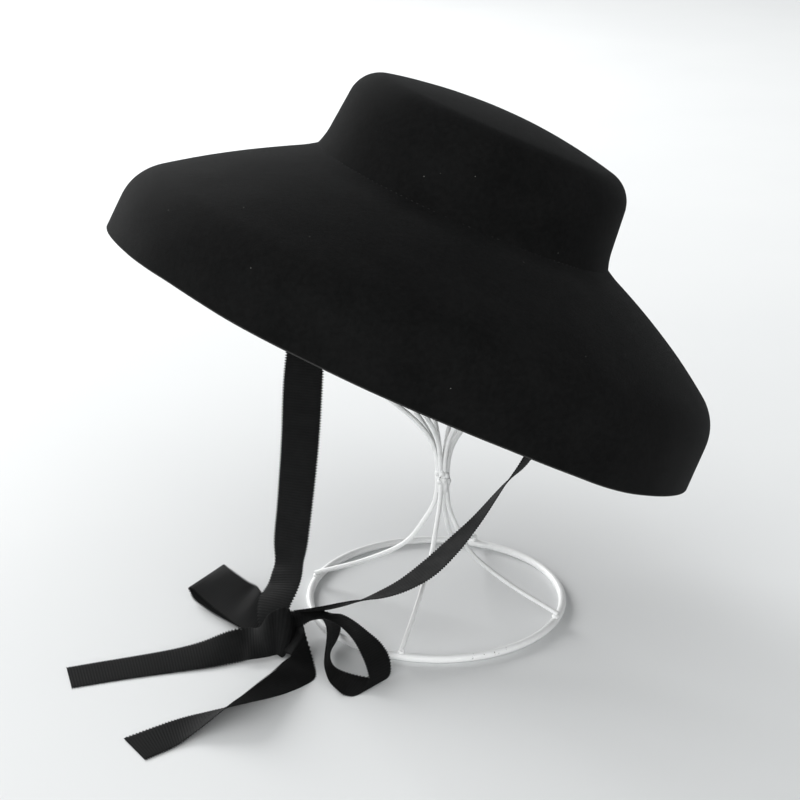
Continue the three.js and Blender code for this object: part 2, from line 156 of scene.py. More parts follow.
# Ribbon.
RIBBON_WIDTH = 24
RIBBON_WALL = 0.55
RIB_PITCH = 1.75
RIB_HEIGHT = 0.08
RIB_STEPS = 6
PICOT = 1.35
TOOTHED_FROM = 0.98
TAIL_SHARE = 0.76
WARP_PITCH = 0.32
RIBBON_WAVE = 0.35
WAVE_LENGTH = 30
RIBBON_FLOOR = 0.1
# Places across a ribbon as shares of half its width, each with the share of its thickness there
RIBBON_COLUMNS = (
    (-1, 0.3), (-0.985, 0.75), (-0.93, 1), (-0.75, 1), (-0.5, 1), (-0.25, 1), (0, 1),
    (0.25, 1), (0.5, 1), (0.75, 1), (0.93, 1), (0.985, 0.75), (1, 0.3),
)
SEWN_CLEARANCE = 1.7
SEWN_HIGH = 24
SEWN_LOW = 6
# x, y, z of the ribbon's middle, turn and rise of its width,
# then how wide it stands and how far its middle swells
TIE_LEFT_ROWS = (
    (-75, 6, 232, 55, -4, 24, 0),
    (-83, 0, 160, 3, 0, 24, 0.3),
    (-86, -8, 114, -6, 0, 24, 0.4),
    (-89, -20, 81, -20, -2, 24, 0.4),
    (-92, -29.5, 54, -31, -9, 24, 0.4),
)
TIE_RIGHT_ROWS = (
    (86, -4, 172, 78, -34, 24, 0),
    (55, -15, 105, 80, -36, 24, 0.4),
    (42, -20, 91, 91, -26, 24, 0.4),
    (24, -27, 69, 98, -14, 24, 0.4),
    (9, -33, 54, 102, -4, 24, 0.4),
    (-6, -40, 42, 102, -2, 24, 0.4),
    (-21, -46, 34, 100, -10, 24, 0.4),
    (-36, -51, 29.5, 98, -18, 24, 0.5),
    (-54, -55, 26.5, 95, -33, 23.5, 0.4),
    (-73, -58, 23.7, 92, -35, 20, 0.4),
    (-88, -57, 21.5, 90, -31, 13, 0.4),
)
# The next ribbons are set by their two edges, and by how far their middle swells.
# The first ends the left tie.
TIE_FOOT_ROWS = (
    ((-83.5, -41, 46.6), (-102.5, -24, 38.7), 0.4),
    ((-84, -45, 41.7), (-104.5, -29, 32.8), 0.5),
    ((-85.4, -49, 36.5), (-106.5, -33, 28.1), 0.6),
    ((-87.6, -53, 31.7), (-109, -37.5, 25.5), 0.8),
    ((-90.3, -57, 27.2), (-111.2, -42, 23.4), 1),
    ((-91.8, -60, 24), (-111.9, -47, 20.5), 1.2),
    ((-93.6, -62, 19.5), (-111.6, -53, 16.7), 1.2),
    ((-95.5, -63, 13.8), (-110.4, -58, 11), 1),
    ((-97.5, -62, 9), (-109, -59.5, 6.5), 0.8),
)
LOOP_LEFT_ROWS = (
    ((-99, -43, 16), (-111, -61, 5), 1),
    ((-104.6, -36.6, 19), (-117.4, -55.3, 6), 1),
    ((-111.5, -30.2, 21), (-125.6, -47.1, 6), 0.6),
    ((-115.5, -20.6, 20), (-133.7, -36.9, 6.5), 0.4),
    ((-120.9, -15.9, 20.5), (-141.9, -26.9, 7.5), 0.3),
    ((-127.3, -9.1, 21.5), (-149.5, -17.4, 9), 0.2),
    ((-133.9, -0.9, 22), (-155.4, -10.2, 10.5), 0),
    ((-137.8, 5.9, 21), (-159.1, -6.3, 11), 0),
    ((-140, 11.7, 18.5), (-160.8, -3.2, 9), 0),
    ((-139.6, 14.5, 14.5), (-160.1, -3.1, 6), 0),
    ((-134.4, 7.2, 12), (-156.9, -9.1, 4), 0),
    ((-127.8, -1.2, 10.5), (-150.6, -15.7, 2.6), 0),
    ((-120.6, -9, 9.5), (-142.3, -25, 2.2), 0),
    ((-114.1, -17.6, 9), (-134.2, -33.4, 2.4), 0.2),
    ((-109.1, -25.2, 8), (-126.2, -42.2, 3), 0.5),
    ((-103.4, -38, 8), (-117.5, -54.2, 4), 1),
)
LOOP_RIGHT_ROWS = (
    ((-97, -48, 15), (-95, -60, 8), 1),
    ((-90, -48.5, 17), (-87, -59, 10.5), 1),
    ((-83.5, -50, 18.6), (-82.4, -59, 13.5), 1),
    ((-78, -50.8, 19), (-79.5, -59, 15.7), 1),
    ((-72, -51, 18.5), (-75.9, -60.5, 18.2), 0.8),
    ((-66, -51.3, 16.8), (-71.4, -64, 20.7), 0.6),
    ((-60, -52.5, 17), (-66.2, -70.5, 22.2), 0.5),
    ((-52.5, -58, 16), (-60, -79.5, 23.5), 0.3),
    ((-42.5, -71, 14.5), (-51.5, -91.5, 21), 0),
    ((-35, -80, 12), (-46.5, -100, 16), 0),
    ((-30, -90, 8.5), (-43, -108.5, 11), 0),
    ((-29, -96, 4.5), (-42, -112, 7), 0),
    ((-29.5, -99, 2), (-43.5, -115, 3.5), 0),
    ((-32.5, -102.5, 0.6), (-48, -119.5, 0.3), 0),
    ((-40, -102.5, 1.2), (-51.5, -121.5, -0.2), 0),
    ((-49, -101, 2.2), (-56.5, -120, 0.4), 0),
    ((-56, -98.5, 3), (-61, -118, 3.2), 0),
    ((-61.5, -92.5, 2.2), (-65, -114, 5.6), 0),
    ((-64.5, -86.5, 2), (-67.3, -108, 8), 0),
    ((-66, -79.5, 2.5), (-68.5, -102.5, 10.4), 0),
    ((-65.5, -71.5, 3), (-68.5, -93.5, 12.5), 0),
    ((-63, -65.5, 4.6), (-68, -86.5, 15.2), 0),
    ((-61, -58, 6), (-68, -76.5, 17.4), 0.3),
    ((-60.5, -51, 7), (-69, -68.5, 18.4), 0.6),
    ((-63.5, -45, 8), (-72, -60, 18.4), 0.6),
    ((-69.5, -42, 8), (-77, -56, 17), 0.5),
    ((-77, -42, 8.5), (-83.5, -57, 14), 0.5),
    ((-84.5, -43.5, 8), (-89, -59, 11), 0.5),
)
TAIL_LOWER_ROWS = (
    ((-91, -47, 10), (-97, -68, 5), 0.5),
    ((-83.5, -59.5, 12.4), (-92.6, -82.3, 7), 0.5),
    ((-82.1, -66.2, 12.8), (-90.5, -86.6, 8.6), 0.6),
    ((-81.3, -69.1, 12), (-89.4, -88.3, 8.6), 0.8),
    ((-80.4, -71.5, 9.5), (-89.6, -88.6, 7.8), 0.8),
    ((-78.7, -74.2, 5.5), (-90.4, -89.6, 7.6), 0.5),
    ((-76.3, -82.3, 0.9), (-91.5, -93.3, 8.4), 0.3),
    ((-74.1, -93.4, -0.3), (-93, -98.4, 9.6), 0.3),
    ((-74.4, -101.3, -0.5), (-94.9, -104.7, 11), 0.3),
    ((-79.8, -108.7, -0.5), (-98.5, -115.7, 13), 0.3),
    ((-88.2, -115.8, -0.5), (-103.8, -128.3, 15), 0.3),
    ((-99.5, -122.1, -0.5), (-109.1, -140.1, 16.3), 0.3),
    ((-110.8, -127.2, -0.4), (-113.6, -147.4, 16.2), 0.3),
    ((-119.7, -131.1, -0.3), (-117.8, -151.4, 15), 0.3),
    ((-128, -134.8, -0.2), (-123, -154.8, 12), 0.3),
    ((-135.7, -138.4, 0), (-130.1, -160.3, 8.2), 0.3),
    ((-144.9, -143.1, 0.3), (-139.1, -166.6, 3.6), 0.2),
    ((-155.4, -150.3, 0.9), (-147.7, -174.9, 1.2), 0),
    ((-178, -166.5, 0.7), (-163, -187.5, 0.7), 0),
)
# x, y, z, turn, rise, width and swell again, then the same tail's edges where it goes on round the knot.
TAIL_UPPER_ROWS = (
    (-221, -101, 0.6, 110, 1, 24, 0),
    (-190, -91, 0.9, 105, 2, 24, 0.2),
    (-160, -83, 1.9, 100, 6, 24, 0.2),
    (-142, -79, 3.8, 97, 14, 24, 0.3),
    (-124, -74.6, 7, 95, 27, 24, 0.6),
)
WRAP_ROWS = (
    ((-117.4, -59.5, 11.5), (-114.3, -85, 3.6), 0.8),
    ((-112.3, -61.6, 12.4), (-109.3, -83.6, 3.6), 1),
    ((-109.3, -63.6, 14.6), (-105.7, -82.4, 3.6), 1.2),
    ((-107.2, -64.8, 18.6), (-102.7, -81.4, 3.6), 1.4),
    ((-104.5, -63, 22.2), (-100.9, -80.3, 3.6), 1.6),
    ((-100.4, -60, 23.8), (-99.2, -79.6, 3.6), 1.8),
    ((-95.5, -58.6, 24.9), (-98, -79.4, 3.6), 2.2),
    ((-91.7, -57.9, 23.2), (-96.8, -80.1, 3.2), 3),
    ((-90.7, -56.9, 19.5), (-95, -80.8, 2.6), 3.4),
    ((-89.8, -55, 15), (-93.7, -79.9, 3.4), 2.6),
    ((-90.1, -51.6, 11), (-93.7, -75.2, 4), 1.4),
)
KNOT = {
    "x": -100, "y": -53, "z": 10.4,
    "along": 12, "across": 10.5, "high": 9.6,
    "bearing": -68, "floor": 0.5,
    "weave_round": 11, "weave_along": 12,
}
# Pleats of the knot: depth, how many go round it, and how they slant along it
PLEATS = ((0.035, 7, 2.2), (0.02, 13, -1))


def new_material(name):
    material = bpy.data.materials.new(name)
    material.use_nodes = True
    tree = material.node_tree
    tree.nodes.clear()
    output = tree.nodes.new("ShaderNodeOutputMaterial")
    shader = tree.nodes.new("ShaderNodeBsdfPrincipled")
    tree.links.new(shader.outputs["BSDF"], output.inputs["Surface"])
    return material, tree, shader


def add_node(tree, kind, inputs, **settings):
    """A node with its settings, and inputs that are either numbers or other nodes' sockets."""
    node = tree.nodes.new(kind)
    for key, value in settings.items():
        setattr(node, key, value)
    for key, value in inputs.items():
        if isinstance(value, bpy.types.NodeSocket):
            tree.links.new(value, node.inputs[key])
        else:
            node.inputs[key].default_value = value
    return node


def texture(tree, scale, detail=3, distortion=0):
    """Noise over the surface, with marks of about 1 / scale metres."""
    place = add_node(tree, "ShaderNodeTexCoord", {})
    inputs = {"Vector": place.outputs["Object"], "Scale": scale, "Detail": detail, "Distortion": distortion}
    return add_node(tree, "ShaderNodeTexNoise", inputs).outputs["Fac"]


def maths(tree, operation, a, b):
    return add_node(tree, "ShaderNodeMath", {0: a, 1: b}, operation=operation).outputs[0]


def spread(tree, value, low, high, to_low=0.0, to_high=1.0):
    inputs = {"Value": value, "From Min": low, "From Max": high, "To Min": to_low, "To Max": to_high}
    return add_node(tree, "ShaderNodeMapRange", inputs).outputs["Result"]


def blend(tree, factor, first, second):
    inputs = {0: factor, 6: first, 7: second}
    return add_node(tree, "ShaderNodeMix", inputs, data_type="RGBA").outputs[2]


def attribute(tree, name):
    return add_node(tree, "ShaderNodeAttribute", {}, attribute_name=name).outputs["Fac"]


def bump(tree, shader, height, distance, strength):
    inputs = {"Height": height, "Distance": distance, "Strength": strength}
    node = add_node(tree, "ShaderNodeBump", inputs)
    tree.links.new(node.outputs["Normal"], shader.inputs["Normal"])


def felt_material():
    """Black wool felt: matted fibres, a soft nap that lightens at grazing angles, a painted highlight along
    the rim's cut edge, and a little lint.
    """
    material, tree, shader = new_material("felt_black")
    cloud = texture(tree, 38, 4)
    mottle = texture(tree, 330, 3, 0.4)
    fibre = texture(tree, 1500, 4, 1.2)
    tone = maths(tree, "ADD", maths(tree, "MULTIPLY", cloud, 0.45), maths(tree, "MULTIPLY", mottle, 0.55))
    dark, light = (0.0048, 0.0049, 0.0049, 1), (0.0082, 0.0083, 0.0083, 1)
    colour = blend(tree, spread(tree, tone, 0.35, 0.65), dark, light)
    # The lighter grey is a painted highlight along the rim's cut edge, where the edge numbers are set, as
    # if light caught its fuzz; the lint grey is real lint.
    rim_highlight_grey, lint_grey = (0.075, 0.075, 0.073, 1), (0.16, 0.16, 0.15, 1)
    cut = maths(tree, "MULTIPLY", attribute(tree, "edge"), fibre)
    colour = blend(tree, cut, colour, rim_highlight_grey)
    place = add_node(tree, "ShaderNodeTexCoord", {})
    lint = add_node(tree, "ShaderNodeTexVoronoi", {"Vector": place.outputs["Object"], "Scale": 85.0})
    speck = spread(tree, lint.outputs["Distance"], 0.014, 0.03, 1, 0)
    colour = blend(tree, speck, colour, lint_grey)
    tree.links.new(colour, shader.inputs["Base Color"])
    tree.links.new(spread(tree, mottle, 0.3, 0.7, 0.88, 1), shader.inputs["Roughness"])
    shader.inputs["Specular IOR Level"].default_value = 0.03
    shader.inputs["Sheen Weight"].default_value = 0.03
    shader.inputs["Sheen Roughness"].default_value = 0.38
    shader.inputs["Sheen Tint"].default_value = (0.9, 0.93, 0.95, 1)
    relief = maths(tree, "ADD", maths(tree, "MULTIPLY", fibre, 0.6), maths(tree, "MULTIPLY", mottle, 0.4))
    bump(tree, shader, relief, 0.0007, 0.55)
    return material


def ribbon_material():
    """Black grosgrain: ribs across the ribbon, with fine warp threads that run along it over each rib, and
    painted shade between the ribs.
    """
    material, tree, shader = new_material("ribbon_black")
    along = attribute(tree, "along")
    across = attribute(tree, "across")
    rib = maths(tree, "COSINE", maths(tree, "MULTIPLY", along, 2 * math.pi / RIB_PITCH), 0)
    thread = maths(tree, "COSINE", maths(tree, "MULTIPLY", across, 2 * math.pi / WARP_PITCH), 0)
    worn = texture(tree, 160, 4)
    yarn = texture(tree, 2200, 2)
    # Painted light and shade: the ribs make the colour lighter on each crest and darker in each groove. The
    # warp threads add fine lines, and the noise a random tone.
    weave_and_rib_shade = maths(tree, "ADD", maths(tree, "MULTIPLY", rib, 0.17), maths(tree, "MULTIPLY", thread, 0.1))
    tone = maths(tree, "ADD", weave_and_rib_shade, maths(tree, "ADD", worn, yarn))
    dark, light = (0.0078, 0.008, 0.0081, 1), (0.0134, 0.0136, 0.0137, 1)
    colour = blend(tree, spread(tree, tone, 0.6, 1.4), dark, light)
    tree.links.new(colour, shader.inputs["Base Color"])
    tree.links.new(spread(tree, worn, 0.3, 0.7, 0.52, 0.66), shader.inputs["Roughness"])
    shader.inputs["Specular IOR Level"].default_value = 0.02
    shader.inputs["Sheen Weight"].default_value = 0.012
    shader.inputs["Sheen Roughness"].default_value = 0.4
    bump(tree, shader, maths(tree, "ADD", weave_and_rib_shade, maths(tree, "MULTIPLY", yarn, 0.2)), 0.0002, 0.35)
    return material


def thread_material():
    """Sewing thread, a little greyer than the felt."""
    material, tree, shader = new_material("thread_black")
    twist = texture(tree, 2600, 2)
    dark, light = (0.008, 0.008, 0.008, 1), (0.04, 0.04, 0.039, 1)
    colour = blend(tree, twist, dark, light)
    tree.links.new(colour, shader.inputs["Base Color"])
    tree.links.new(spread(tree, twist, 0.3, 0.7, 0.6, 0.8), shader.inputs["Roughness"])
    shader.inputs["Specular IOR Level"].default_value = 0.1
    bump(tree, shader, twist, 0.0002, 0.5)
    return material


def paint_material():
    """White paint dipped over wire: thick, a little uneven, chipped to grey steel where it is worn."""
    material, tree, shader = new_material("paint_white")
    run = texture(tree, 120, 3)
    grain = texture(tree, 900, 2)
    chip = texture(tree, 520, 3, 0.6)
    wear = maths(tree, "MULTIPLY", attribute(tree, "wear"), 0.5)
    bare = spread(tree, maths(tree, "ADD", wear, chip), 0.86, 0.9)
    white, cream, steel = (0.9, 0.905, 0.905, 1), (0.84, 0.845, 0.84, 1), (0.16, 0.155, 0.145, 1)
    colour = blend(tree, spread(tree, run, 0.3, 0.75), white, cream)
    colour = blend(tree, bare, colour, steel)
    tree.links.new(colour, shader.inputs["Base Color"])
    tree.links.new(spread(tree, grain, 0.3, 0.7, 0.34, 0.5), shader.inputs["Roughness"])
    relief = maths(tree, "SUBTRACT", maths(tree, "ADD", run, maths(tree, "MULTIPLY", grain, 0.15)), bare)
    bump(tree, shader, relief, 0.0005, 0.4)
    return material


def floor_material():
    """A plain pale table, with hardly any grain."""
    material, tree, shader = new_material("table_pale")
    tone = texture(tree, 3, 3)
    grain = texture(tree, 700, 2)
    dark, light = (0.755, 0.765, 0.77, 1), (0.775, 0.784, 0.787, 1)
    colour = blend(tree, spread(tree, tone, 0.3, 0.7), dark, light)
    tree.links.new(colour, shader.inputs["Base Color"])
    tree.links.new(spread(tree, grain, 0.3, 0.7, 0.6, 0.7), shader.inputs["Roughness"])
    shader.inputs["Specular IOR Level"].default_value = 0.2
    bump(tree, shader, grain, 0.0001, 0.15)
    return material


FELT_BLACK = felt_material()
RIBBON_BLACK = ribbon_material()
THREAD_BLACK = thread_material()
PAINT_WHITE = paint_material()


def make_piece(name, points, faces, material, attributes=None):
    """A mesh piece from points in millimetres, with named numbers per point for its material."""
    mesh = bpy.data.meshes.new(name)
    mesh.from_pydata((np.asarray(points, float) * MM + STAND).tolist(), [], faces)
    outward = bmesh.new()
    outward.from_mesh(mesh)
    bmesh.ops.recalc_face_normals(outward, faces=outward.faces)
    outward.to_mesh(mesh)
    outward.free()
    for key, values in (attributes or {}).items():
        layer = mesh.attributes.new(key, "FLOAT", "POINT")
        layer.data.foreach_set("value", np.asarray(values, np.float32))
    mesh.materials.append(material)
    mesh.shade_smooth()
    mesh.set_sharp_from_angle(angle=math.radians(SHARP_EDGE))
    piece = bpy.data.objects.new(name, mesh)
    bpy.context.collection.objects.link(piece)
    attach(piece, "root")
    return piece


def grid_faces(rows, columns, wrap_rows=False, wrap_columns=False):
    """Quads of a grid whose points are stored row by row."""
    faces = []
    for i in range(rows if wrap_rows else rows - 1):
        here, below = i * columns, (i + 1) % rows * columns
        for j in range(columns if wrap_columns else columns - 1):
            beside = (j + 1) % columns
            faces.append((here + j, here + beside, below + beside, below + j))
    return faces


def tube_faces(rows, columns):
    """Faces of a closed tube: quads round its side and one face over each end."""
    ends = [tuple(range(columns)), tuple(range((rows - 1) * columns, rows * columns))]
    return grid_faces(rows, columns, wrap_columns=True) + ends


def soft(point, size, seed=0.0):
    """Smooth noise from -1 to 1 with lumps of about this size in millimetres."""
    return noise.noise(Vector(point) / size + Vector((seed, 2 * seed, -seed)))


def unit(vectors):
    return vectors / np.maximum(np.linalg.norm(vectors, axis=-1, keepdims=True), 1e-9)


def smooth_curve(rows, steps):
    """A smooth curve through rows of numbers, with this many steps from row to row.

    The first three numbers of a row are its place.
    """
    rows = np.asarray(rows, float)
    rows = np.vstack([2 * rows[0] - rows[1], rows, 2 * rows[-1] - rows[-2]])
    gaps = np.maximum(np.linalg.norm(np.diff(rows[:, :3], axis=0), axis=1), 1e-6) ** 0.5
    points = []
    for i in range(1, len(rows) - 2):
        before, here, after = gaps[i - 1], gaps[i], gaps[i + 1]
        p0, p1, p2, p3 = rows[i - 1 : i + 3]
        leave = ((p1 - p0) / before - (p2 - p0) / (before + here) + (p2 - p1) / here) * here
        arrive = ((p2 - p1) / here - (p3 - p1) / (here + after) + (p3 - p2) / after) * here
        for share in np.linspace(0, 1, steps, endpoint=False):
            square, cube = share**2, share**3
            points.append((2 * cube - 3 * square + 1) * p1 + (cube - 2 * square + share) * leave
                          + (3 * square - 2 * cube) * p2 + (cube - square) * arrive)
    points.append(rows[-2])
    return np.array(points)


def even_curve(rows, spacing):
    """The same curve with points an even distance apart, and that distance along it."""
    dense = smooth_curve(rows, CURVE_STEPS)
    length = np.concatenate([[0], np.cumsum(np.linalg.norm(np.diff(dense[:, :3], axis=0), axis=1))])
    count = max(int(round(length[-1] / spacing)), 4)
    places = np.linspace(0, length[-1], count + 1)
    return np.stack([np.interp(places, length, column) for column in dense.T], 1), places


# Hat

HAT_TURN = np.array(Euler((-math.radians(LEAN_BACK), math.radians(LEAN_RIGHT), 0), "XYZ").to_matrix())


def on_hat(points):
    return np.asarray(points) @ HAT_TURN.T + np.array(HAT_PLACE)


def inside_line(line):
    """The line one felt wall inside a line of (radius, height)."""
    along = unit(np.gradient(line, axis=0))
    return line + FELT * np.stack([along[:, 1], -along[:, 0]], 1)


def crown_line():
    """The crown's outside as (radius, height), from the middle of its top down to the seam."""
    edge_middle = CROWN_TOP_RADIUS - CROWN_EDGE_RADIUS
    top_slope = math.atan(2 * CROWN_DOME / edge_middle)
    side_slope = math.atan((CROWN_BASE_RADIUS - CROWN_TOP_RADIUS) / (CROWN_HEIGHT - CROWN_EDGE_RADIUS))
    angles = np.linspace(top_slope, math.pi / 2 - side_slope, 18)
    edge = np.stack([edge_middle + CROWN_EDGE_RADIUS * np.sin(angles),
                     CROWN_HEIGHT - CROWN_EDGE_RADIUS * (1 - np.cos(angles))], 1)
    rise = edge[0, 0] * math.tan(top_slope) / 2
    shares = np.linspace(0.03, 1, 24, endpoint=False)
    top = np.stack([shares * edge[0, 0], edge[0, 1] + rise * (1 - shares**2)], 1)
    falls = np.linspace(0, 1, 18)[1:, None]
    side = edge[-1] + falls * (np.array([CROWN_BASE_RADIUS, 0.1]) - edge[-1])
    side[:, 0] += SEAM_FILL * np.clip(1 - side[:, 1] / SEAM_FILLET, 0, 1) ** 2
    return np.vstack([top, edge, side])


def brim_size(name, angle):
    """A size of the brim at an angle, smoothly between its four sides."""
    side = BRIM_SECTIONS[name]
    middle = sum(side.values()) / 4
    sideways = (side["right"] - side["left"]) / 2 * math.cos(angle)
    lengthways = (side["back"] - side["front"]) / 2 * math.sin(angle)
    twice = (side["right"] + side["left"] - side["back"] - side["front"]) / 4 * math.cos(2 * angle)
    return middle + sideways + lengthways + twice


def rim_drop(angle):
    """How much further the soft rim hangs in front, and most of all at its front right."""
    front = min(max((-math.sin(angle) - FRONT_FROM) / FRONT_BLEND, 0), 1)
    aside = (math.degrees(angle) - CORNER_TURN + 180) % 360 - 180
    corner = math.exp(-((aside / CORNER_SPREAD) ** 2))
    return FRONT_DROP * front * front * (3 - 2 * front) + CORNER_DROP * corner


def bezier(a, b, c, shares):
    shares = np.asarray(shares)[:, None]
    return (1 - shares) ** 2 * a + 2 * shares * (1 - shares) * b + shares**2 * c


def brim_line(angle):
    """The brim's outside as (radius, height), from the seam over the shoulder and down to the rim."""
    seam = np.array([CROWN_BASE_RADIUS, 0.0])
    shoulder = np.array([brim_size("shoulder_radius", angle), brim_size("shoulder_height", angle)])
    rim = np.array([brim_size("rim_radius", angle), brim_size("rim_height", angle) - rim_drop(angle)])
    along = unit(shoulder - seam)
    control = (seam + shoulder) / 2 + 2 * brim_size("bow", angle) * np.array([-along[1], along[0]])
    slope_end = 1 - SHOULDER_ROUND / (2 * np.linalg.norm(shoulder - control))
    fall_start = shoulder + (rim - shoulder) * SHOULDER_ROUND / np.linalg.norm(rim - shoulder)
    shares = np.concatenate([[0, 0.008, 0.018, 0.035], np.linspace(0.06, 1, 26)])
    slope = bezier(seam, control, shoulder, slope_end * shares)
    slope[:, 1] += SEAM_FILL * np.clip(1 - (slope[:, 0] - seam[0]) / SEAM_FILLET, 0, 1) ** 2
    over = bezier(slope[-1], shoulder, fall_start, np.linspace(0, 1, 14)[1:])
    fall_shares = np.append(np.linspace(0, 0.96, 11)[1:], [0.985, 1])
    fall = fall_start + fall_shares[:, None] * (rim - fall_start)
    return np.vstack([slope, over, fall])


def hat_point(point, angle):
    """A place on the oval hat, before it is tilted."""
    radius, height = point
    reach = brim_size("shoulder_radius", angle) - CROWN_BASE_RADIUS
    outward = min(max((radius - CROWN_BASE_RADIUS) / reach, 0), 1)
    oval = CROWN_OVAL + (BRIM_OVAL - CROWN_OVAL) * outward
    return [radius * math.cos(angle), radius * oval * math.sin(angle), height]


def uneven(point, amount):
    """Felt is blocked by hand and steamed, so its surface is never quite true."""
    x, y, z = point
    return [x, y, z + amount * (soft(point, 70, 1.7) + 0.4 * soft(point, 24, 4.1))]


def hat_angles():
    return [2 * math.pi * i / HAT_SEGMENTS for i in range(HAT_SEGMENTS)]


def make_crown():
    outside = crown_line()
    inside = inside_line(outside)
    inside[-1] = (CROWN_BASE_RADIUS - FELT, 0.1)
    loop = np.vstack([outside, inside[::-1]])
    points = [uneven(hat_point(point, angle), CROWN_UNEVEN) for angle in hat_angles() for point in loop]
    faces = grid_faces(HAT_SEGMENTS, len(loop), wrap_rows=True)
    last = len(loop) - 1
    top, under = len(points), len(points) + 1
    points += [uneven([0, 0, line[0, 1] + 0.01], CROWN_UNEVEN) for line in (outside, inside)]
    for i in range(HAT_SEGMENTS):
        here, beside = i * len(loop), (i + 1) % HAT_SEGMENTS * len(loop)
        faces.append((top, here, beside))
        faces.append((under, beside + last, here + last))
    # The crown's edge numbers are all naught, so it gets none of the painted highlight.
    edge = np.zeros(len(points))
    return make_piece("hat_crown", on_hat(points), faces, FELT_BLACK, {"edge": edge})


def make_brim():
    points = []
    edge = []
    for angle in hat_angles():
        outside = brim_line(angle)
        inside = inside_line(outside)
        inside[0] = (CROWN_BASE_RADIUS - FELT, 0)
        across = inside[-1] - outside[-1]
        down = unit(outside[-1] - outside[-2])
        cut = [outside[-1] + across * share + down * depth for share, depth in RIM_CUT]
        loop = np.vstack([outside, cut, inside[::-1]])
        points += [uneven(hat_point(point, angle), BRIM_UNEVEN) for point in loop]
        # The edge numbers mark where the felt gets its painted highlight: the rim's cut edge and the rows
        # beside it.
        edge += [0] * (len(outside) - 1) + [0.75] + [1] * len(cut) + [0.75] + [0] * (len(inside) - 1)
    faces = grid_faces(HAT_SEGMENTS, len(loop), wrap_rows=True, wrap_columns=True)
    return make_piece("hat_brim", on_hat(points), faces, FELT_BLACK, {"edge": edge})


def make_stitches():
    """The row of sewing along the seam: short threads that dive into the felt at both ends."""
    steps, sides = 7, 6
    around = np.linspace(0, 2 * math.pi, 3000)
    wide, deep = CROWN_BASE_RADIUS, CROWN_BASE_RADIUS * CROWN_OVAL
    ring = np.stack([wide * np.cos(around), deep * np.sin(around)], 1)
    length = np.concatenate([[0], np.cumsum(np.linalg.norm(np.diff(ring, axis=0), axis=1))])
    count = int(length[-1] / STITCH_PITCH)
    up = np.array([0, 0, 1])
    points = []
    faces = []
    for i in range(count):
        middle = length[-1] * i / count
        slant = STITCH_SLANT * soft((i, 0, 0), 1.3, 7)
        sunk = STITCH_DEPTH + STITCH_UNEVEN * soft((i, 0, 0), 2.4, 3)
        for step in range(steps):
            share = step / (steps - 1)
            angle = np.interp(middle + STITCH_LENGTH * (share - 0.5), length, around)
            rise = STITCH_ARCH * math.sin(math.pi * share) - sunk
            outward = CROWN_BASE_RADIUS + SEAM_FACE[0] * SEAM_FILL + rise * SEAM_FACING[0]
            height = SEAM_FACE[1] * SEAM_FILL + rise * SEAM_FACING[1] + slant * (share - 0.5) * 2
            centre = np.array(hat_point((outward, height), angle))
            ahead = np.array([-math.sin(angle), math.cos(angle), 0])
            side = np.cross(ahead, up)
            for turn in np.linspace(0, 2 * math.pi, sides, endpoint=False):
                out = math.cos(turn) * side + math.sin(turn) * up
                points.append(centre + THREAD / 2 * out)
        first = i * steps * sides
        faces += [tuple(first + k for k in face) for face in tube_faces(steps, sides)]
    return make_piece("hat_stitches", on_hat(points), faces, THREAD_BLACK)


# Ribbon

def sewn_row(angle, height):
    """Where a tie lies flat inside the crown."""
    side_height = CROWN_HEIGHT - CROWN_EDGE_RADIUS
    wall = CROWN_BASE_RADIUS + (CROWN_TOP_RADIUS - CROWN_BASE_RADIUS) * height / side_height - FELT
    hollow = RIBBON_WIDTH**2 / (8 * wall)
    radius = wall - hollow - SEWN_CLEARANCE
    x, y, z = on_hat([radius * math.cos(angle), radius * math.sin(angle), height])
    width = HAT_TURN @ np.array([0, 1, 0])
    turn = math.degrees(math.atan2(width[1], width[0]))
    rise = math.degrees(math.asin(width[2]))
    return (x, y, z, turn, rise, RIBBON_WIDTH, 0)


def width_rows(rows):
    """Rows of place, half-width as a vector, and swell, with the width square to the ribbon's run."""
    rows = np.asarray(rows, float)
    turn, rise = np.radians(rows[:, 3]), np.radians(rows[:, 4])
    width = np.stack([np.cos(rise) * np.cos(turn), np.cos(rise) * np.sin(turn), np.sin(rise)], 1)
    run = unit(np.gradient(smooth_curve(rows[:, :3], CURVE_STEPS), axis=0))[::CURVE_STEPS]
    width = unit(width - run * (width * run).sum(1, keepdims=True))
    return np.hstack([rows[:, :3], width * rows[:, 5:6] / 2, rows[:, 6:7]])


def edge_rows(rows):
    """The same kind of rows from a ribbon's upper and lower edge."""
    upper = np.array([row[0] for row in rows], float)
    lower = np.array([row[1] for row in rows], float)
    return np.hstack([(upper + lower) / 2, (upper - lower) / 2, [[row[2]] for row in rows]])


